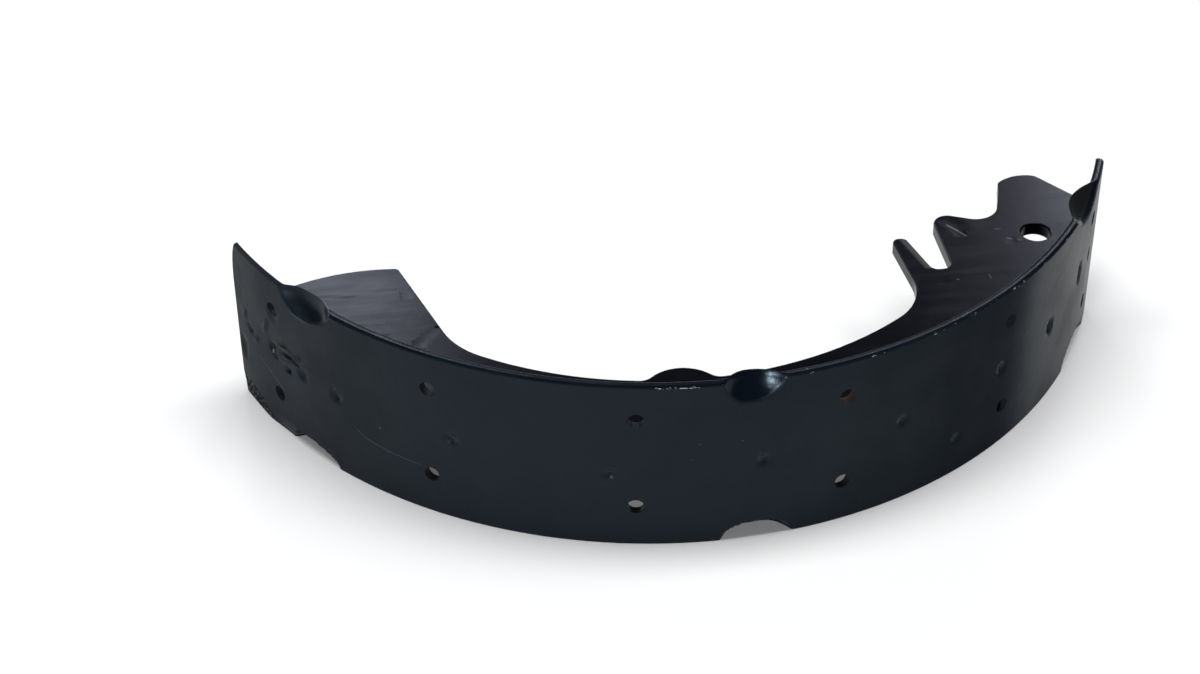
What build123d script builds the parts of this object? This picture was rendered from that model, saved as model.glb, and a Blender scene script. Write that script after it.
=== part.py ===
from build123d import *
from math import cos, radians, sin, sqrt, tan
import os

# Bare core of a riveted drum brake shoe: a rolled table with a flat web welded inside it.
# Millimetres and degrees. The origin is the middle of the table's outer face, on its lower edge.
# The drum's axis stands upright at +Y from it. Angles are measured about that axis, from the
# middle of the table towards +X, and the depths of the web's features inwards from the table.

# Table, the curved band that carries the lining
table_radius = 124.5
table_width = 50.0
table_sheet = 2.2
table_toe_angle = 68.5
table_heel_angle = 67.7
table_rim_chamfer = 0.6

# Rivet holes, in pairs across the table
rivet_hole_radius = 2.1
rivet_row_spacing = 27.2
rivet_station_count = 6
rivet_pitch_angle = 24.2
rivet_first_angle = -59.1

# Rest pads, pressed inwards at the upper and lower edge near the toe, the crown and the heel.
# Their wall is thinner than the sheet that it is drawn from.
upper_toe_pad_angle = -53.2
upper_toe_pad_depth = 3.4
lower_toe_pad_angle = -53.2
lower_toe_pad_depth = 4.1
upper_crown_pad_angle = 2.6
upper_crown_pad_depth = 3.9
lower_crown_pad_angle = 3.2
lower_crown_pad_depth = 4.6
upper_heel_pad_angle = 58.2
upper_heel_pad_depth = 4.8
lower_heel_pad_angle = 59.4
lower_heel_pad_depth = 2.6
pad_half_length = 9.2
pad_height = 6.2
pad_wall = 0.8

# Marks that the weld electrodes leave along the middle of the table
weld_mark_angles = (-64.6, -56.4, -47.9, -32.2, -13.5, 3.8, 21.0, 36.8, 47.7, 57.0, 62.2)
weld_mark_radius = 2.0
weld_mark_depth = 0.4

# Web, the flat plate: its place in the table, and its concave inner edge
web_sheet = 3.8
web_offset = 0.9
web_depth = 28.1
web_inner_half_angle = 40.9
toe_root_radius = 22.0
heel_root_radius = 17.6

# Toe, the web's plain end, which bears on the anchor
toe_foot_angle = 68.0
toe_depth = 41.3
toe_corner_angle = 64.0
toe_end_radius = 54.2
toe_corner_radius = 1.5

# Boss on the inner edge, with the hole for the hold-down pin
boss_angle = -4.1
boss_rise = 4.9
boss_radius = 10.6
boss_root_radius = 4.0
hold_down_hole_radius = 3.75

# Strut slot, placed by the outer corner of its floor, and the finger beside it
slot_angle = 51.0
slot_depth = 28.9
slot_floor_width = 5.3
slot_mouth_width = 9.2
finger_height = 15.1
finger_tip_width = 3.9

# Radius that rounds a tip or a slot's floor all but fully, as a share of its width
full_round_share = 0.47

# Step in the heel end: a radial face, a hollow corner and a wall round the drum's axis
step_angle = 65.6
step_depth = 24.7
step_nose_radius = 4.0
step_corner_radius = 6.4

# Lobe at the heel's tip, with the hole for the return spring
lobe_start_angle = 76.8
lobe_corner_radius = 1.0
lobe_crown_radius = 10.5
lobe_end_angle = 79.1
lobe_end_depth = 14.4
lobe_shoulder_radius = 3.0
heel_end_angle = 73.1
spring_hole_radius = 4.0
spring_hole_depth = 13.0
spring_hole_angle = 64.7

drum_axis = (0, table_radius)
table_span = table_toe_angle + table_heel_angle
table_inner_radius = table_radius - table_sheet
table_middle_radius = table_radius - table_sheet / 2
web_inner_radius = table_inner_radius - web_depth
web_height = table_width / 2 + web_offset
web_bottom = web_height - web_sheet / 2


def polar(radius, angle):
    """Point at a distance from the drum's axis, at an angle from the middle of the table."""
    return (radius * sin(radians(angle)), table_radius - radius * cos(radians(angle)))


def outward(radius, angle, height):
    """Plane that faces away from the drum's axis, with its own X along the tangent."""
    facing = (sin(radians(angle)), -cos(radians(angle)), 0)
    return Plane(origin=(*polar(radius, angle), height), x_dir=(-facing[1], facing[0], 0), z_dir=facing)


def pad_form(depth, wall):
    """Barrel-shaped punch for a rest pad, or with a wall the bulge that the punch leaves inside."""
    punch_radius = (pad_half_length**2 + depth**2) / (2 * depth)
    barrel_lift = (pad_height**2 - depth**2) / (2 * depth)
    arc_centre = punch_radius - depth - barrel_lift
    half_barrel = sqrt((punch_radius + wall) ** 2 - arc_centre**2)
    with BuildPart() as form:
        with BuildSketch(Plane.XZ):
            with BuildLine():
                RadiusArc((-half_barrel, barrel_lift), (half_barrel, barrel_lift), -punch_radius - wall)
                Line((-half_barrel, barrel_lift), (half_barrel, barrel_lift))
            make_face()
        revolve(axis=Axis((0, 0, barrel_lift), (1, 0, 0)))
    return form.part


# Each rest pad is half of a hollow barrel: a pocket outside and a bulge of the sheet inside
pads = []
for edge_height, pad_angle, depth in (
    (table_width, upper_toe_pad_angle, upper_toe_pad_depth),
    (0.0, lower_toe_pad_angle, lower_toe_pad_depth),
    (table_width, upper_crown_pad_angle, upper_crown_pad_depth),
    (0.0, lower_crown_pad_angle, lower_crown_pad_depth),
    (table_width, upper_heel_pad_angle, upper_heel_pad_depth),
    (0.0, lower_heel_pad_angle, lower_heel_pad_depth),
):
    place = outward(table_radius, pad_angle, edge_height)
    pads.append((place, pad_form(depth, 0.0), pad_form(depth, pad_wall)))

with BuildPart() as pad_bulges:
    for place, pocket, bulge in pads:
        with Locations(place):
            add(bulge)
    with BuildSketch():
        with Locations(drum_axis):
            Circle(table_middle_radius)
    extrude(amount=table_width, mode=Mode.INTERSECT)

# Table: rolled strip with its upper rim eased by the shear, its pads, weld marks and rivet holes
with BuildPart() as shoe_table:
    with BuildSketch():
        with BuildLine():
            outside = CenterArc(drum_axis, table_radius, -90 - table_toe_angle, table_span)
            inside = CenterArc(drum_axis, table_inner_radius, -90 - table_toe_angle, table_span)
            Line(outside @ 0, inside @ 0)
            Line(outside @ 1, inside @ 1)
        make_face()
    extrude(amount=table_width)
    outer_rims = shoe_table.edges().filter_by(GeomType.CIRCLE).group_by(SortBy.RADIUS)[-1]
    chamfer(outer_rims.sort_by(Axis.Z)[-1], length=table_rim_chamfer)
    add(pad_bulges.part)
    for place, pocket, bulge in pads:
        with Locations(place):
            add(pocket, mode=Mode.SUBTRACT)
    mark_ball_radius = (weld_mark_radius**2 + weld_mark_depth**2) / (2 * weld_mark_depth)
    for mark_angle in weld_mark_angles:
        with Locations(outward(table_radius + mark_ball_radius - weld_mark_depth, mark_angle, web_height)):
            Sphere(mark_ball_radius, mode=Mode.SUBTRACT)
    for station in range(rivet_station_count):
        with Locations(outward(table_radius, rivet_first_angle + station * rivet_pitch_angle, web_height)):
            with GridLocations(0, rivet_row_spacing, 1, 2):
                Hole(rivet_hole_radius, depth=2 * table_sheet)

# Web: blanked plate, its outline drawn from the toe along the inner edge to the heel
with BuildPart() as shoe_web:
    with BuildSketch(Plane.XY.offset(web_bottom)) as web_outline:
        toe_foot = polar(table_inner_radius, -toe_foot_angle)
        toe_corner = polar(table_inner_radius - toe_depth, -toe_corner_angle)
        toe_root = polar(web_inner_radius, -web_inner_half_angle)
        heel_root = polar(web_inner_radius, web_inner_half_angle)
        slot_x, slot_y = polar(table_inner_radius - slot_depth, slot_angle)
        slot_right = (slot_x, slot_y)
        slot_left = (slot_x - slot_floor_width, slot_y)
        finger_right = (slot_x - slot_mouth_width, slot_y + finger_height)
        finger_left = (slot_x - slot_mouth_width - finger_tip_width, slot_y + finger_height)
        step_nose = (slot_x, table_radius - slot_x / tan(radians(step_angle)))
        step_radius = table_inner_radius - step_depth
        step_corner = polar(step_radius, step_angle)
        lobe_start = polar(step_radius, lobe_start_angle)
        lobe_end = polar(table_inner_radius - lobe_end_depth, lobe_end_angle)
        heel_foot = polar(table_inner_radius, heel_end_angle)
        with BuildLine():
            RadiusArc(toe_foot, toe_corner, toe_end_radius)
            Line(toe_corner, toe_root)
            RadiusArc(toe_root, heel_root, -web_inner_radius)
            Polyline(heel_root, finger_left, finger_right, slot_left, slot_right, step_nose, step_corner)
            RadiusArc(step_corner, lobe_start, -step_radius)
            RadiusArc(lobe_start, lobe_end, lobe_crown_radius)
            Line(lobe_end, heel_foot)
            RadiusArc(heel_foot, toe_foot, table_inner_radius)
        make_face()
        corner_rounds = (
            (toe_corner, toe_corner_radius),
            (toe_root, toe_root_radius),
            (heel_root, heel_root_radius),
            (finger_left, finger_tip_width * full_round_share),
            (finger_right, finger_tip_width * full_round_share),
            (slot_left, slot_floor_width * full_round_share),
            (slot_right, slot_floor_width * full_round_share),
            (step_nose, step_nose_radius),
            (step_corner, step_corner_radius),
            (lobe_start, lobe_corner_radius),
            (lobe_end, lobe_shoulder_radius),
        )
        for corner, corner_radius in corner_rounds:
            fillet(web_outline.vertices().sort_by_distance(corner)[0], corner_radius)
        boss_centre = polar(web_inner_radius - boss_rise + boss_radius, boss_angle)
        with Locations(boss_centre):
            Circle(boss_radius)
        fillet(web_outline.vertices().sort_by_distance(boss_centre)[:2], boss_root_radius)
        with Locations(boss_centre):
            Circle(hold_down_hole_radius, mode=Mode.SUBTRACT)
        with Locations(polar(table_inner_radius - spring_hole_depth, spring_hole_angle)):
            Circle(spring_hole_radius, mode=Mode.SUBTRACT)
    extrude(amount=web_sheet)

os.makedirs("parts", exist_ok=True)

shoe_table.part.label = "shoe_table"
export_step(shoe_table.part, "parts/shoe_table.step")

shoe_web.part.label = "shoe_web"
export_step(shoe_web.part, "parts/shoe_web.step")
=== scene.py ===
import bmesh
import bpy
from math import cos, pi, radians, sin
from mathutils import Matrix, Vector


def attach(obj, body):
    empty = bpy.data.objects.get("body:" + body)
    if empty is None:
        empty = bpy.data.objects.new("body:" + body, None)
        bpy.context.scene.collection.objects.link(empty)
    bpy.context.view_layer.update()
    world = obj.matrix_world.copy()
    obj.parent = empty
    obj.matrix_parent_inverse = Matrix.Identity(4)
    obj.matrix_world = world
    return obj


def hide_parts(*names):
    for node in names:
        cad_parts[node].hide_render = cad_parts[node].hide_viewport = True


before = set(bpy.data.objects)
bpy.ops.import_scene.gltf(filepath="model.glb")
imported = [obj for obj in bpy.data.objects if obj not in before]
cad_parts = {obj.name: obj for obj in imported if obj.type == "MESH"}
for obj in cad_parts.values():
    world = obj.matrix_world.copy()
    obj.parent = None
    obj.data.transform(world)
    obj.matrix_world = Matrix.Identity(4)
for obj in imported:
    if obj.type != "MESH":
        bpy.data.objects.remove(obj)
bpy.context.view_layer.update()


# Table: a strip of 2.2 mm sheet steel, pierced with twelve rivet holes, pressed in at six places along
# its edges, rolled round the drum's axis and dip painted. Its toe end is dented and torn by handling.
MM = 0.001
TABLE_RADIUS = 124.5 * MM
TABLE_SHEET = 2.2 * MM
TABLE_WIDTH = 50 * MM
PAD_WALL = 0.7 * MM
RIVET_HOLE_RADIUS = 2.1 * MM
RIVET_STATIONS = 6
RIVET_PITCH_ANGLE = 24.2
RIVETS_MIDDLE_ANGLE = 1.4
RIVET_ROW_SPACING = 27.2 * MM
WEB_MIDDLE = 25.9 * MM
STEPS_ALONG = 494


def along_at(angle):
    """Distance along the flat strip that an angle about the drum's axis comes to."""
    return radians(angle) * TABLE_RADIUS


TOE_END = along_at(-68.5)
HEEL_END = along_at(67.7)


def add_node(tree, kind, *values, **settings):
    """Adds a node and gives its inputs, in order, a value or the socket that they take it from."""
    node = tree.nodes.new(kind)
    for name, setting in settings.items():
        setattr(node, name, setting)
    for socket, value in zip([s for s in node.inputs if s.enabled], values):
        if isinstance(value, bpy.types.NodeSocket):
            tree.links.new(value, socket)
        elif value is not None:
            socket.default_value = value
    return node


def calc(tree, operation, *values):
    """Adds a math node and returns its result."""
    return add_node(tree, "ShaderNodeMath", *values, operation=operation).outputs[0]


def vector_calc(tree, operation, first, second):
    """Adds a vector math node and returns its results: a vector, then a number."""
    return add_node(tree, "ShaderNodeVectorMath", first, second, operation=operation).outputs


def ramp(tree, value, start, end, low=0.0, high=1.0):
    """Goes smoothly from low to high while the value goes from start to end."""
    return add_node(
        tree, "ShaderNodeMapRange", value, start, end, low, high, interpolation_type="SMOOTHSTEP"
    ).outputs[0]


def shaped_curve(tree, value, points):
    """Runs a value through a curve whose points all lie between 0 and 1."""
    node = add_node(tree, "ShaderNodeFloatCurve", 1.0, value)
    curve = node.mapping.curves[0]
    curve.points[0].location = points[0]
    curve.points[-1].location = points[-1]
    for point in points[1:-1]:
        curve.points.new(*point)
    node.mapping.update()
    return node.outputs[0]


def new_group(kind, name, inputs, outputs):
    """Starts a node group with named inputs and outputs; returns it with its input and output nodes."""
    tree = bpy.data.node_groups.new(name, kind)
    for label, form in inputs:
        tree.interface.new_socket(label, in_out="INPUT", socket_type=form)
    for label, form in outputs:
        tree.interface.new_socket(label, in_out="OUTPUT", socket_type=form)
    return tree, tree.nodes.new("NodeGroupInput"), tree.nodes.new("NodeGroupOutput")


NUMBER, VECTOR, GEOMETRY = "NodeSocketFloat", "NodeSocketVector", "NodeSocketGeometry"
press_names = (
    "Depth so far", "Along", "Up", "Reach back", "Reach ahead", "Reach up",
    "Turn", "Depth", "Fullness", "Softness",
)
press, given, result = new_group(
    "GeometryNodeTree", "press", [(name, NUMBER) for name in press_names], [("Depth", NUMBER)]
)
flat = add_node(press, "GeometryNodeInputNamedAttribute", "flat", data_type="FLOAT_VECTOR").outputs[0]
flat = add_node(press, "ShaderNodeSeparateXYZ", flat)
offset = add_node(
    press, "ShaderNodeCombineXYZ",
    calc(press, "SUBTRACT", flat.outputs["X"], given.outputs["Along"]),
    calc(press, "SUBTRACT", flat.outputs["Z"], given.outputs["Up"]),
)
turned = add_node(
    press, "ShaderNodeVectorRotate", offset.outputs[0], None, given.outputs["Turn"], rotation_type="Z_AXIS"
)
turned = add_node(press, "ShaderNodeSeparateXYZ", turned.outputs[0])
back = calc(press, "DIVIDE", calc(press, "MULTIPLY", turned.outputs["X"], -1.0), given.outputs["Reach back"])
ahead = calc(press, "DIVIDE", turned.outputs["X"], given.outputs["Reach ahead"])
across = calc(press, "MAXIMUM", back, ahead)
up = calc(press, "DIVIDE", turned.outputs["Y"], given.outputs["Reach up"])
reach = calc(press, "ADD", calc(press, "MULTIPLY", across, across), calc(press, "MULTIPLY", up, up))
reach = calc(press, "POWER", calc(press, "MINIMUM", reach, 1.0), given.outputs["Fullness"])
shape = calc(press, "POWER", calc(press, "SUBTRACT", 1.0, reach), given.outputs["Softness"])
shape = calc(press, "MULTIPLY", shape, given.outputs["Depth"])
press.links.new(calc(press, "ADD", shape, given.outputs["Depth so far"]), result.inputs["Depth"])

# Angle and height of each press mark, its reach back, ahead and up, its turn and depth, then how full
# and how soft its form is
rest_pads = (
    (-53.4, 50.0, 8.0, 11.0, 6.2, 0, 3.45, 1.5, 1.1),
    (1.9, 54.0, 7.4, 10.6, 10.8, 0, 4.55, 1.1, 1.0),
    (58.0, 53.0, 10.6, 11.8, 8.2, 0, 5.5, 1.0, 1.0),
    (-54.8, 0.0, 4.9, 13.5, 4.2, 0, 4.6, 1.4, 1.1),
    (3.4, 0.0, 9.6, 9.0, 5.1, 0, 5.4, 1.8, 1.1),
    (59.4, 0.0, 11.5, 10.9, 6.4, 0, 2.5, 1.0, 1.0),
)
weld_marks = tuple(
    (angle, height, reach, reach, tall, 0, deep, 1.0, 1.1)
    for angle, height, reach, tall, deep in (
        (-64.8, 26.0, 1.9, 1.9, 0.7), (-53.9, 25.0, 2.2, 2.2, 0.9), (-48.2, 24.9, 2.3, 2.5, 1.0),
        (-32.2, 25.7, 2.1, 2.2, 0.8), (-13.55, 22.6, 2.0, 2.0, 0.8), (3.84, 24.9, 2.1, 2.1, 0.8),
        (21.0, 25.9, 2.0, 2.1, 0.8), (36.8, 25.6, 2.1, 2.4, 1.1), (47.7, 24.6, 2.0, 3.2, 1.4),
        (57.0, 28.7, 2.0, 4.4, 1.5), (61.8, 27.8, 1.3, 2.6, 1.0), (29.6, 11.2, 1.8, 1.8, 0.8),
    )
)
toe_dents = (
    (-67.2, 17.0, 2.6, 2.2, 4.6, 0, 0.85, 1.0, 1.4),
    (-66.1, 28.8, 0.9, 0.9, 2.4, 22, -0.5, 1.0, 1.1),
    (-64.9, 26.1, 0.9, 0.9, 2.4, 35, -0.5, 1.0, 1.1),
    (-63.6, 24.0, 0.9, 0.9, 2.0, 45, -0.4, 1.0, 1.1),
    (-61.0, 31.8, 0.9, 0.9, 3.4, 25, -0.5, 1.0, 1.1),
    (-59.2, 38.4, 2.6, 3.0, 3.2, 0, 0.5, 1.0, 1.4),
    (-59.7, 26.7, 1.4, 1.4, 2.0, 30, 1.1, 1.0, 1.1),
    (-57.5, 29.5, 3.2, 3.2, 0.8, 0, -0.45, 1.0, 1.0),
    (-55.0, 28.7, 2.4, 2.4, 0.8, -30, -0.45, 1.0, 1.0),
    (-56.4, 27.4, 4.8, 4.8, 0.9, 0, 0.7, 1.0, 1.0),
    (-59.3, 24.4, 1.6, 1.6, 0.8, 0, 0.5, 1.0, 1.0),
    (-56.7, 22.8, 1.4, 1.4, 1.0, -15, 1.0, 1.0, 1.0),
    (-53.3, 44.2, 4.8, 4.4, 1.3, 0, -0.4, 1.0, 1.2),
    (-57.4, 0.0, 10.0, 4.0, 5.0, 0, 0.7, 1.0, 1.1),
    (-68.5, 0.0, 4.0, 16.0, 6.8, 0, 0.35, 1.0, 1.0),
)

strip, given, result = new_group(
    "GeometryNodeTree", "rolled_strip",
    [("Section", GEOMETRY), ("Radius", NUMBER), ("Toe end", NUMBER), ("Heel end", NUMBER),
     ("Steps", "NodeSocketInt"), ("Rivet hole radius", NUMBER), ("Pad wall", NUMBER),
     ("Paint", "NodeSocketMaterial")],
    [("Table", GEOMETRY)],
)
line = add_node(
    strip, "GeometryNodeCurvePrimitiveLine",
    add_node(strip, "ShaderNodeCombineXYZ", given.outputs["Toe end"]).outputs[0],
    add_node(strip, "ShaderNodeCombineXYZ", given.outputs["Heel end"]).outputs[0],
)
line = add_node(strip, "GeometryNodeResampleCurve", line.outputs[0], None, given.outputs["Steps"])
section = add_node(strip, "GeometryNodeMeshToCurve", given.outputs["Section"])
blank = add_node(strip, "GeometryNodeCurveToMesh", line.outputs[0], section.outputs[0], None, True)
stations = add_node(
    strip, "GeometryNodeMeshGrid",
    along_at((RIVET_STATIONS - 1) * RIVET_PITCH_ANGLE), RIVET_ROW_SPACING, RIVET_STATIONS, 2,
)
stations = add_node(
    strip, "GeometryNodeTransform", stations.outputs[0],
    (along_at(RIVETS_MIDDLE_ANGLE), TABLE_SHEET / 2, WEB_MIDDLE), (pi / 2, 0, 0),
)
punch = add_node(
    strip, "GeometryNodeMeshCylinder", 40, 1, 1, given.outputs["Rivet hole radius"], 3 * TABLE_SHEET
)
punches = add_node(
    strip, "GeometryNodeInstanceOnPoints",
    stations.outputs[0], None, punch.outputs[0], None, None, (pi / 2, 0, 0),
)
punches = add_node(strip, "GeometryNodeRealizeInstances", punches.outputs[0])
blank = add_node(
    strip, "GeometryNodeMeshBoolean", blank.outputs[0], punches.outputs[0],
    operation="DIFFERENCE", solver="EXACT",
)
corners = add_node(strip, "GeometryNodeInputMeshFaceNeighbors")
many = add_node(
    strip, "FunctionNodeCompare", corners.outputs[0], 4, data_type="INT", operation="GREATER_THAN"
)
blank = add_node(strip, "GeometryNodeTriangulate", blank.outputs[0], many.outputs[0])
place = add_node(strip, "GeometryNodeInputPosition").outputs[0]
blank = add_node(
    strip, "GeometryNodeStoreNamedAttribute", blank.outputs[0], None, "flat", place, data_type="FLOAT_VECTOR"
)
along, inward, height = add_node(strip, "ShaderNodeSeparateXYZ", place).outputs

depth = 0.0
for angle, mark_height, *sizes in rest_pads + weld_marks + toe_dents:
    reach_back, reach_ahead, reach_up, turn, mark_depth, fullness, softness = sizes
    depth = add_node(
        strip, "GeometryNodeGroup", depth, along_at(angle), mark_height * MM, reach_back * MM,
        reach_ahead * MM, reach_up * MM, radians(turn), mark_depth * MM, fullness, softness, node_tree=press,
    ).outputs["Depth"]

blank = add_node(
    strip, "GeometryNodeStoreNamedAttribute", blank.outputs[0], None, "pressed", depth, data_type="FLOAT"
)
# The sheet is full beside the pads, drawn thin at their bottoms, and thinned at the toe's upper corner
pad_inside = calc(strip, "ADD", depth, given.outputs["Pad wall"])
wall = calc(strip, "SUBTRACT", calc(strip, "MAXIMUM", pad_inside, TABLE_SHEET), depth)
near_top = ramp(strip, height, 45.5 * MM, TABLE_WIDTH, 0.0, 1.1 * MM)
near_toe = ramp(strip, along, along_at(-57), along_at(-50), 1.0, 0.0)
wall = calc(strip, "SUBTRACT", wall, calc(strip, "MULTIPLY", near_top, near_toe))
share = calc(strip, "DIVIDE", inward, TABLE_SHEET)
pressed = calc(strip, "ADD", depth, calc(strip, "MULTIPLY", share, wall))
# How many millimetres the toe's edge stands back at each height
MOST_BACK = 4
toe_outline = (
    (0, 0.6), (1.5, 0.35), (5, 0.2), (9, 0.1), (16, 0), (27, 0), (38, 0.1), (44, 0.8), (48, 2.0), (50, 3.0),
)
trim = shaped_curve(
    strip, calc(strip, "DIVIDE", height, TABLE_WIDTH),
    [(outline_height / 50, back / MOST_BACK) for outline_height, back in toe_outline],
)
trim = calc(strip, "MULTIPLY", trim, MOST_BACK * MM)
trimmed_until = calc(strip, "ADD", given.outputs["Toe end"], 12 * MM)
fading = ramp(strip, along, given.outputs["Toe end"], trimmed_until, 1.0, 0.0)
length = calc(strip, "ADD", along, calc(strip, "MULTIPLY", trim, fading))
turn = calc(strip, "DIVIDE", length, given.outputs["Radius"])
radius = calc(strip, "SUBTRACT", given.outputs["Radius"], pressed)
across = calc(strip, "MULTIPLY", radius, calc(strip, "SINE", turn))
ahead = calc(strip, "MULTIPLY", radius, calc(strip, "COSINE", turn))
rolled = add_node(
    strip, "ShaderNodeCombineXYZ", across, calc(strip, "SUBTRACT", given.outputs["Radius"], ahead), height
)
table = add_node(strip, "GeometryNodeSetPosition", blank.outputs[0], None, rolled.outputs[0])
table = add_node(strip, "GeometryNodeRealizeInstances", table.outputs[0])
table = add_node(strip, "GeometryNodeSetMaterial", table.outputs[0], None, given.outputs["Paint"])
strip.links.new(table.outputs[0], result.inputs["Table"])


def rounded_corner(depth_in, height_up, start, size, steps):
    """Points of a quarter circle in the strip's section, anticlockwise from an angle in degrees."""
    angles = [radians(start + 90 * k / steps) for k in range(steps + 1)]
    return [(depth_in + size * cos(angle), height_up + size * sin(angle)) for angle in angles]


def straight(start, end, step):
    """Heights between two corners of the strip's section, without its ends."""
    count = round(abs(end - start) / step)
    return [start + (end - start) * k / count for k in range(1, count)]


outline_points = rounded_corner(0.2, 0.2, 180, 0.2, 2) + rounded_corner(1.9, 0.3, 270, 0.3, 2)
outline_points += [(2.2, z) for z in straight(0.3, 49.5, 1.6)]
outline_points += rounded_corner(1.7, 49.5, 0, 0.5, 3) + [(0.7, 50.0), (0.0, 49.3)]
outline_points += [(0, z) for z in straight(49.3, 0.2, 0.6)]
section_mesh = bpy.data.meshes.new("section")
count = len(outline_points)
section_mesh.from_pydata(
    [(-t * MM, -z * MM, 0) for t, z in outline_points], [(k, (k + 1) % count) for k in range(count)], []
)

coat, given, result = new_group(
    "ShaderNodeTree", "dip_paint",
    [("Place", VECTOR), ("Ripple", NUMBER), ("Rough", NUMBER), ("Blotches", NUMBER)],
    [("Height", NUMBER), ("Roughness", NUMBER), ("Dust", NUMBER)],
)
peel = add_node(coat, "ShaderNodeTexNoise", given.outputs["Place"], 420, 3, 0.55)
grain = add_node(coat, "ShaderNodeTexNoise", given.outputs["Place"], 2600, 2, 0.5)
waves = add_node(coat, "ShaderNodeTexNoise", given.outputs["Place"], 90, 2, 0.5)
blotch = add_node(coat, "ShaderNodeTexNoise", given.outputs["Place"], 55, 2, 0.5)
bumps = calc(coat, "ADD", calc(coat, "MULTIPLY", waves.outputs[0], 2.0), peel.outputs[0])
bumps = calc(coat, "ADD", bumps, calc(coat, "MULTIPLY", grain.outputs[0], 0.12))
coat.links.new(calc(coat, "MULTIPLY", bumps, given.outputs["Ripple"]), result.inputs["Height"])
patchy = ramp(coat, blotch.outputs[0], 0.35, 0.7, -1.0, 1.0)
uneven = calc(coat, "ADD", given.outputs["Rough"], calc(coat, "MULTIPLY", patchy, given.outputs["Blotches"]))
coat.links.new(uneven, result.inputs["Roughness"])
coat.links.new(ramp(coat, blotch.outputs[0], 0.5, 0.72), result.inputs["Dust"])

chipping, given, result = new_group(
    "ShaderNodeTree", "chipped_edge",
    [("Place", VECTOR), ("Edge", NUMBER), ("Amount", NUMBER)], [("Bare", NUMBER)],
)
drawn_out = vector_calc(chipping, "MULTIPLY", given.outputs["Place"], (0.3, 1, 1))[0]
coarse = add_node(chipping, "ShaderNodeTexNoise", drawn_out, 420, 3, 0.65)
fine = add_node(chipping, "ShaderNodeTexNoise", drawn_out, 3000, 2, 0.6)
mixed = calc(chipping, "MULTIPLY", calc(chipping, "ADD", coarse.outputs[0], fine.outputs[0]), 0.5)
limit = calc(chipping, "SUBTRACT", 0.74, calc(chipping, "MULTIPLY", given.outputs["Amount"], 0.25))
chips = ramp(chipping, calc(chipping, "SUBTRACT", mixed, limit), 0.0, 0.04)
chipping.links.new(calc(chipping, "MULTIPLY", chips, given.outputs["Edge"]), result.inputs["Bare"])

scratch, given, result = new_group(
    "ShaderNodeTree", "scratch",
    [("Place", VECTOR), ("Start", VECTOR), ("Way", VECTOR), ("Half width", NUMBER)], [("Mark", NUMBER)],
)
away = vector_calc(scratch, "SUBTRACT", given.outputs["Place"], given.outputs["Start"])[0]
run = vector_calc(scratch, "DOT_PRODUCT", away, given.outputs["Way"])["Value"]
whole = vector_calc(scratch, "DOT_PRODUCT", given.outputs["Way"], given.outputs["Way"])["Value"]
run = calc(scratch, "MINIMUM", calc(scratch, "MAXIMUM", calc(scratch, "DIVIDE", run, whole), 0.0), 1.0)
nearest = add_node(scratch, "ShaderNodeVectorMath", given.outputs["Way"], None, None, operation="SCALE")
scratch.links.new(run, nearest.inputs["Scale"])
gap = vector_calc(scratch, "DISTANCE", away, nearest.outputs[0])["Value"]
gap = calc(scratch, "DIVIDE", gap, given.outputs["Half width"])
scratch.links.new(ramp(scratch, gap, 1.0, 0.3), result.inputs["Mark"])

paint = bpy.data.materials.new("table_paint")
paint.use_nodes = True
tree = paint.node_tree
shader = tree.nodes["Principled BSDF"]
shader.inputs["Specular IOR Level"].default_value = 0.21
shader.inputs["Specular Tint"].default_value = (0.6, 0.81, 1, 1)
spread = add_node(tree, "ShaderNodeAttribute", attribute_name="flat").outputs["Vector"]
along, inward, height = add_node(tree, "ShaderNodeSeparateXYZ", spread).outputs
pressed = add_node(tree, "ShaderNodeAttribute", attribute_name="pressed").outputs["Fac"]
pressed = calc(tree, "ABSOLUTE", pressed)
# The coat is duller towards the heel, and smooth in the pads and on the rim, less so near the toe
way_round = ramp(tree, along, TOE_END, HEEL_END)
dull = shaped_curve(tree, way_round, (
    (0, 0.6), (0.12, 0.54), (0.3, 0.5), (0.6, 0.56), (0.72, 0.7), (0.77, 0.75), (0.81, 0.82), (0.86, 0.85),
    (0.89, 0.7), (0.93, 0.46), (1, 0.42),
))
past_toe = ramp(tree, along, along_at(-57), along_at(-48))
on_rim = calc(tree, "MULTIPLY", past_toe, 0.75)
on_rim = calc(tree, "MULTIPLY", ramp(tree, height, 49.4 * MM, 49.6 * MM), on_rim)
in_dents = calc(
    tree, "MULTIPLY", ramp(tree, pressed, 0.05 * MM, 0.7 * MM), ramp(tree, past_toe, 0.0, 1.0, 0.3, 1.0)
)
smooth = calc(tree, "MAXIMUM", in_dents, on_rim)
rough = add_node(tree, "ShaderNodeMapRange", smooth, 0.0, 1.0, dull, 0.2).outputs[0]
surface = add_node(tree, "ShaderNodeGroup", spread, 0.00006, rough, 0.04, node_tree=coat)
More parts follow.
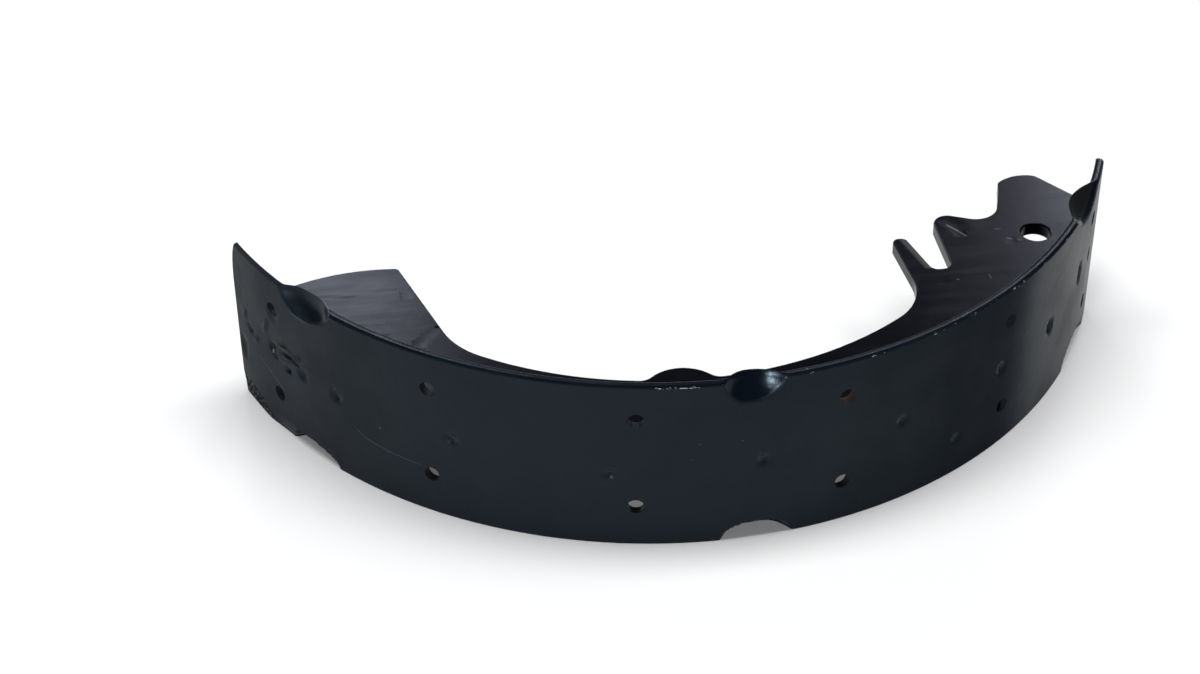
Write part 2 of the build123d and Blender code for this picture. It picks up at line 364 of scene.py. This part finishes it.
# Wear on the rim, chipped to bare metal at its outer corner and, past the crown, along the middle of its
# flat, where a lighter grey line is also a painted highlight
corner = calc(
    tree, "MULTIPLY", ramp(tree, inward, 0.01 * MM, 0.06 * MM), ramp(tree, inward, 0.4 * MM, 0.25 * MM)
)
line = calc(
    tree, "MULTIPLY", ramp(tree, inward, 0.9 * MM, 1.05 * MM), ramp(tree, inward, 1.4 * MM, 1.25 * MM)
)
line = calc(tree, "MULTIPLY", line, ramp(tree, along, -6 * MM, 6 * MM))
rim = calc(tree, "MULTIPLY", ramp(tree, height, 49.2 * MM, 49.4 * MM), calc(tree, "MAXIMUM", corner, line))
wear = shaped_curve(tree, way_round, (
    (0, 0.1), (0.3, 0.15), (0.4, 0.3), (0.42, 0.9), (0.455, 0.9), (0.49, 0.5), (0.6, 0.5), (0.86, 0.6),
    (1, 0.5),
))
chips = add_node(tree, "ShaderNodeGroup", spread, rim, wear, node_tree=chipping).outputs["Bare"]
# The sheared walls of the holes, of which one is rusty
wall_of_hole = calc(
    tree, "MULTIPLY", ramp(tree, inward, 0.1 * MM, 0.3 * MM), ramp(tree, inward, 1.9 * MM, 2.1 * MM, 1.0, 0.0)
)
wall_of_hole = calc(tree, "MULTIPLY", wall_of_hole, ramp(tree, height, 46 * MM, 47 * MM, 1.0, 0.0))
rusty = vector_calc(tree, "DISTANCE", spread, (along_at(13.5), TABLE_SHEET / 2, 39.5 * MM))["Value"]
rusty = calc(tree, "LESS_THAN", rusty, 4 * MM)


def blend(tree, factor, first, second):
    """Goes from the first colour to the second by a factor."""
    mix = tree.nodes.new("ShaderNodeMix")
    mix.data_type = "RGBA"
    for socket, value in zip([s for s in mix.inputs if s.enabled], (factor, first, second)):
        if isinstance(value, bpy.types.NodeSocket):
            tree.links.new(value, socket)
        else:
            socket.default_value = value
    return [s for s in mix.outputs if s.enabled][0]


# A lighter grey line along the middle of the rim's flat past the crown: a painted highlight
colour = blend(tree, calc(tree, "MULTIPLY", rim, line), (0.0014, 0.003, 0.0056, 1), (0.03, 0.03, 0.035, 1))
wall_colour = blend(tree, rusty, (0.012, 0.012, 0.014, 1), (0.05, 0.02, 0.016, 1))
colour = blend(tree, wall_of_hole, colour, wall_colour)
# Scratches, specks, a light line along the toe's bottom edge and a painted glint in the pit of the toe's
# scar: start and end as angle and height, half width, and how bright each is
marks = (
    (-63.0, 18.8, -60.8, 17.2, 0.45, 0.12), (-60.8, 17.2, -58.1, 14.5, 0.45, 0.12),
    (-45.3, 17.1, -44.0, 15.6, 0.25, 0.15), (-44.0, 15.6, -40.6, 14.5, 0.25, 0.18),
    # The second mark on the next line, in the pit of the toe's scar, is a painted glint
    (-40.6, 14.5, -36.5, 14.0, 0.25, 0.12), (-59.9, 25.3, -59.8, 24.9, 0.4, 0.8),
    (-59.6, 1.3, -56.4, 0.9, 0.35, 0.4), (-41.8, 21.3, -41.7, 21.1, 0.3, 0.3),
    (-3.6, 31.8, -3.5, 31.6, 0.35, 0.1), (1.2, 31.8, 1.3, 31.6, 0.35, 0.1),
    (-4.5, 26.8, -4.4, 26.7, 0.35, 0.08), (-58.8, 27.2, -58.3, 28.9, 0.35, 0.0),
    (-58.3, 28.9, -57.5, 30.1, 0.35, 0.0), (-57.5, 30.1, -56.4, 30.8, 0.35, 0.0),
    (-56.4, 30.8, -55.4, 30.0, 0.35, 0.0), (-55.4, 30.0, -54.2, 28.3, 0.4, 0.0),
    (-54.2, 28.3, -54.6, 27.0, 0.4, 0.0), (-54.6, 27.0, -56.0, 26.4, 0.4, 0.0),
    (-56.0, 26.4, -57.4, 25.7, 0.4, 0.0), (-57.4, 25.7, -58.5, 25.8, 0.4, 0.0),
)
cut = 0.0
for angle, mark_height, end_angle, end_height, half_width, bright in marks:
    start = Vector((along_at(angle), 0, mark_height * MM))
    end = Vector((along_at(end_angle), 0, end_height * MM))
    mark = add_node(tree, "ShaderNodeGroup", spread, start, end - start, half_width * MM, node_tree=scratch)
    cut = calc(tree, "MAXIMUM", cut, mark.outputs[0])
    # Bright marks lighten the paint; the one in the scar's pit is a painted glint
    if bright:
        colour = blend(tree, calc(tree, "MULTIPLY", mark.outputs[0], bright), colour, (0.16, 0.17, 0.19, 1))
# The torn corner under the toe end, rough and mottled
near_corner = calc(tree, "DIVIDE", calc(tree, "SUBTRACT", along, TOE_END), 16 * MM)
low = calc(tree, "DIVIDE", height, 6.6 * MM)
torn = calc(tree, "ADD", calc(tree, "MULTIPLY", near_corner, near_corner), calc(tree, "MULTIPLY", low, low))
crumbs = add_node(tree, "ShaderNodeTexNoise", spread, 900, 3, 0.7).outputs[0]
ragged = calc(tree, "MULTIPLY", calc(tree, "SUBTRACT", crumbs, 0.5), 0.5)
torn = ramp(tree, calc(tree, "ADD", calc(tree, "SUBTRACT", 1.0, torn), ragged), 0.0, 0.12)
mottled = blend(tree, ramp(tree, crumbs, 0.52, 0.6), (0.002, 0.002, 0.002, 1), (0.13, 0.125, 0.13, 1))
colour = blend(tree, torn, colour, mottled)
# The scarred patch above it
scarred = vector_calc(tree, "DISTANCE", spread, (along_at(-57.6), 0, 27.2 * MM))["Value"]
scarred = calc(tree, "MULTIPLY", ramp(tree, scarred, 6.5 * MM, 3 * MM), ramp(tree, crumbs, 0.5, 0.62))
colour = blend(tree, scarred, colour, (0.024, 0.017, 0.017, 1))
# The scorched pocket of the upper heel pad, where the paint burnt off
heel_pad = calc(
    tree, "MULTIPLY", ramp(tree, along, along_at(50), along_at(52)), ramp(tree, height, 40 * MM, 43 * MM)
)
scorched = calc(tree, "MULTIPLY", ramp(tree, pressed, 1.0 * MM, 2.2 * MM), heel_pad)
colour = blend(tree, scorched, colour, (0.004, 0.0025, 0.002, 1))
colour = blend(tree, chips, colour, (0.55, 0.56, 0.6, 1))
tree.links.new(colour, shader.inputs["Base Color"])
tree.links.new(chips, shader.inputs["Metallic"])
matt = calc(tree, "MAXIMUM", torn, scorched)
rough = add_node(tree, "ShaderNodeMapRange", matt, 0.0, 1.0, surface.outputs["Roughness"], 1.0)
tree.links.new(rough.outputs[0], shader.inputs["Roughness"])
bump = add_node(tree, "ShaderNodeBump", 1.0)
bump.inputs["Distance"].default_value = 1.0
crumbled = calc(tree, "MULTIPLY", calc(tree, "MULTIPLY", torn, crumbs), 0.0015)
crumbled = calc(tree, "SUBTRACT", crumbled, calc(tree, "MULTIPLY", cut, 0.00015))
tree.links.new(calc(tree, "ADD", surface.outputs["Height"], crumbled), bump.inputs["Height"])
tree.links.new(bump.outputs[0], shader.inputs["Normal"])

blank_piece = bpy.data.objects.new("table_section", section_mesh)
bpy.context.scene.collection.objects.link(blank_piece)
rolling = blank_piece.modifiers.new("rolling", "NODES")
rolling.node_group = strip
sizes = {
    "Radius": TABLE_RADIUS, "Toe end": TOE_END, "Heel end": HEEL_END, "Steps": STEPS_ALONG,
    "Rivet hole radius": RIVET_HOLE_RADIUS, "Pad wall": PAD_WALL, "Paint": paint,
}
for item in strip.interface.items_tree:
    if item.in_out == "INPUT" and item.name in sizes:
        rolling[item.identifier] = sizes[item.name]
evaluated = bpy.context.evaluated_depsgraph_get()
table_mesh = bpy.data.meshes.new_from_object(
    blank_piece.evaluated_get(evaluated), preserve_all_data_layers=True, depsgraph=evaluated
)
bpy.data.objects.remove(blank_piece)
table_mesh.name = "brake_shoe_table"
table_mesh.materials.clear()
table_mesh.materials.append(paint)
table_mesh.polygons.foreach_set("material_index", [0] * len(table_mesh.polygons))
table_mesh.shade_smooth()
table_mesh.set_sharp_from_angle(angle=radians(32))
table_piece = bpy.data.objects.new("brake_shoe_table", table_mesh)
bpy.context.scene.collection.objects.link(table_piece)
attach(table_piece, "root")
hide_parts("shoe_table")


# Web: a blank of 3.8 mm steel plate with finger, strut slot, stepped heel end, boss and holes, welded
# upright inside the table and dip painted with it. Its flat is scuffed and dented near both ends.
WEB_TOP = 27.8 * MM
EASED_EDGE = 0.35 * MM
GRID_STEP = 1.25
plate = bmesh.new()
plate.from_mesh(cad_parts["shoe_web"].data)
bmesh.ops.remove_doubles(plate, verts=plate.verts, dist=1e-6)
bmesh.ops.dissolve_limit(plate, angle_limit=radians(1), verts=plate.verts, edges=plate.edges)
rims = [e for e in plate.edges if len(e.link_faces) == 2 and e.calc_face_angle() > radians(60)]
bmesh.ops.bevel(plate, geom=rims, offset=EASED_EDGE, segments=2, profile=0.5, affect="EDGES")
# Cuts across and along the plate, placed in millimetres, give its dents their points
for normal, start, count in ((Vector((1, 0, 0)), -116, 187), (Vector((0, 1, 0)), 20, 69)):
    for step in range(count):
        bmesh.ops.bisect_plane(
            plate, geom=plate.verts[:] + plate.edges[:] + plate.faces[:],
            plane_co=normal * (start + step * GRID_STEP) * MM, plane_no=normal,
        )
bmesh.ops.dissolve_degenerate(plate, dist=0.01 * MM, edges=plate.edges)
# Middle of each dent in the web's top, its half length and half width, its turn and depth
web_dents = (
    (-90.4, 78.1, 8.5, 0.9, -8, 0.08), (-68.3, 58.2, 5.2, 1.7, 45, 0.03), (78.1, 84.8, 4.4, 2.4, -33, 0.1),
    (78.3, 80.8, 3.0, 1.2, -52, 0.1), (-84.9, 64.7, 1.6, 1.6, 0, 0.06), (-70.2, 55.6, 1.6, 1.6, 0, 0.06),
    (-72.1, 76.5, 1.6, 1.3, 0, 0.05), (68.9, 60.2, 1.4, 1.4, 0, 0.04), (91.4, 75.3, 1.5, 1.3, 0, 0.05),
    (-78.8, 59.4, 2.2, 1.3, -40, 0.08),
)
for vertex in plate.verts:
    if vertex.co.z > WEB_TOP - 0.01 * MM:
        for x, y, half_length, half_width, turn, dent in web_dents:
            east, north = vertex.co.x - x * MM, vertex.co.y - y * MM
            ahead = (east * cos(radians(turn)) + north * sin(radians(turn))) / half_length / MM
            aside = (north * cos(radians(turn)) - east * sin(radians(turn))) / half_width / MM
            vertex.co.z -= dent * MM * max(0, 1 - ahead * ahead - aside * aside) ** 1.5
bmesh.ops.recalc_face_normals(plate, faces=plate.faces)
web_mesh = bpy.data.meshes.new("brake_shoe_web")
plate.to_mesh(web_mesh)
plate.free()

web_paint = bpy.data.materials.new("web_paint")
web_paint.use_nodes = True
tree = web_paint.node_tree
shader = tree.nodes["Principled BSDF"]
shader.inputs["Specular IOR Level"].default_value = 0.1
shader.inputs["Specular Tint"].default_value = (0.45, 0.54, 1, 1)
where = add_node(tree, "ShaderNodeTexCoord").outputs["Object"]
surface = add_node(tree, "ShaderNodeGroup", where, 0.000008, 0.2, 0.015, node_tree=coat)
streaks = vector_calc(tree, "MULTIPLY", where, (0.1, 1, 1))[0]
streaks = add_node(tree, "ShaderNodeTexNoise", streaks, 420, 4, 0.6).outputs[0]
dust = calc(tree, "MULTIPLY", surface.outputs["Dust"], ramp(tree, streaks, 0.4, 0.65))
colour = blend(tree, dust, (0.0016, 0.0018, 0.003, 1), (0.005, 0.005, 0.007, 1))
# Scuffs on the web's top and a painted highlight along the finger's edge: start and end in millimetres, half
# width, and how bright each is
for x, y, end_x, end_y, half_width, bright in (
    (76.0, 84.7, 78.0, 82.0, 0.4, 0.3), (78.0, 82.0, 79.8, 79.0, 0.4, 0.2),
    (88.4, 81.0, 89.6, 80.6, 0.4, 0.1), (90.6, 76.2, 91.4, 75.8, 0.45, 0.14),
    (93.0, 75.2, 93.8, 75.0, 0.4, 0.1), (81.2, 61.1, 81.4, 59.5, 0.35, 0.08),
    (72.3, 60.4, 72.8, 60.3, 0.35, 0.12), (-94.0, 78.6, -87.0, 77.6, 0.25, 0.04),
    # The broad last mark, along the finger's edge, is a painted highlight
    (63.0, 79.6, 66.4, 67.4, 1.7, 0.15),
):
    start, end = Vector((x * MM, y * MM, WEB_TOP)), Vector((end_x * MM, end_y * MM, WEB_TOP))
    mark = add_node(tree, "ShaderNodeGroup", where, start, end - start, half_width * MM, node_tree=scratch)
    # Lightens the paint along each scuff and along the finger's painted highlight
    colour = blend(tree, calc(tree, "MULTIPLY", mark.outputs[0], bright), colour, (0.3, 0.3, 0.33, 1))
tree.links.new(colour, shader.inputs["Base Color"])
rough = calc(tree, "ADD", surface.outputs["Roughness"], ramp(tree, streaks, 0.35, 0.65, 0.0, 0.035))
tree.links.new(rough, shader.inputs["Roughness"])
bump = add_node(tree, "ShaderNodeBump", 1.0)
bump.inputs["Distance"].default_value = 1.0
tree.links.new(surface.outputs["Height"], bump.inputs["Height"])
tree.links.new(bump.outputs[0], shader.inputs["Normal"])
web_mesh.materials.clear()
web_mesh.materials.append(web_paint)
web_mesh.shade_smooth()
web_mesh.set_sharp_from_angle(angle=radians(17))
for face in web_mesh.polygons:
    face.use_smooth = abs(face.normal.z) < 0.999995
web_piece = bpy.data.objects.new("brake_shoe_web", web_mesh)
bpy.context.scene.collection.objects.link(web_piece)
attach(web_piece, "root")
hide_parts("shoe_web")


# Floor and light: a pale sheet of paper under a wide soft lamp, with softboxes behind the shoe on both
# sides and one low in front, which give the sheen on the web's ends and the glints in the pressed pads.
paper = bpy.data.materials.new("paper")
paper.use_nodes = True
tree = paper.node_tree
shader = tree.nodes["Principled BSDF"]
shader.inputs["Base Color"].default_value = (0.72, 0.72, 0.72, 1)
shader.inputs["Roughness"].default_value = 0.9
shader.inputs["Specular IOR Level"].default_value = 0.2
path = add_node(tree, "ShaderNodeLightPath")
seen = calc(tree, "MAXIMUM", path.outputs["Is Camera Ray"], path.outputs["Is Glossy Ray"])
seen = calc(tree, "MAXIMUM", seen, path.outputs["Is Transmission Ray"])
glow = add_node(tree, "ShaderNodeEmission", (1, 1, 1, 1), calc(tree, "MULTIPLY", seen, 0.06))
both = add_node(tree, "ShaderNodeAddShader", shader.outputs[0], glow.outputs[0])
tree.links.new(both.outputs[0], tree.nodes["Material Output"].inputs["Surface"])
floor_mesh = bpy.data.meshes.new("floor")
floor_mesh.from_pydata([(-2, -1.7, 0), (2, -1.7, 0), (2, 2.3, 0), (-2, 2.3, 0)], [], [(0, 1, 2, 3)])
floor_mesh.materials.append(paper)
floor = bpy.data.objects.new("floor", floor_mesh)
bpy.context.scene.collection.objects.link(floor)
world = bpy.data.worlds.new("studio")
bpy.context.scene.world = world
world.use_nodes = True
world.node_tree.nodes["Background"].inputs["Color"].default_value = (0.11, 0.115, 0.13, 1)


def area_lamp(name, place, aim, width, tall, power):
    """Hangs a soft lamp at a place, turned to a point."""
    light = bpy.data.lights.new(name, "AREA")
    light.shape = "RECTANGLE"
    light.energy = power
    light.size = width
    light.size_y = tall
    lamp = bpy.data.objects.new(name, light)
    bpy.context.scene.collection.objects.link(lamp)
    facing = (Vector(place) - Vector(aim)).to_track_quat("Z", "Y").to_matrix().to_4x4()
    lamp.matrix_world = Matrix.Translation(place) @ facing


area_lamp("overhead_lamp", (0, 0.09, 1.2), (0, 0.05, 0), 1.5, 0.46, 20)
area_lamp("left_softbox", (-0.1, 0.95, 0.66), (0, 0.03, 0.02), 0.17, 0.17, 1.15)
area_lamp("right_softbox", (0.565, 1.04, 0.66), (0, 0.03, 0.02), 0.2, 0.2, 1.7)
area_lamp("front_softbox", (-0.49, -0.9, 0.24), (0, 0.03, 0.02), 0.13, 0.13, 5.2)


# Camera: a long lens in front of the shoe, above it and a little to its left, turned down on the
# table's outer face
cam = bpy.data.cameras.new("camera")
cam.lens = 78.63
cam.sensor_width = 36
cam.clip_start = 0.01
camera = bpy.data.objects.new("camera", cam)
bpy.context.scene.collection.objects.link(camera)
pan, tilt, roll = -0.1484, -0.6607, -0.0079
heading = Matrix.Rotation(pan, 4, "Z") @ Matrix.Rotation(pi / 2 + tilt, 4, "X")
heading = heading @ Matrix.Rotation(roll, 4, "Z")
camera.matrix_world = Matrix.Translation((-0.1028, -0.4738, 0.4402)) @ heading
bpy.context.scene.camera = camera
bpy.context.scene.view_settings.view_transform = "Standard"
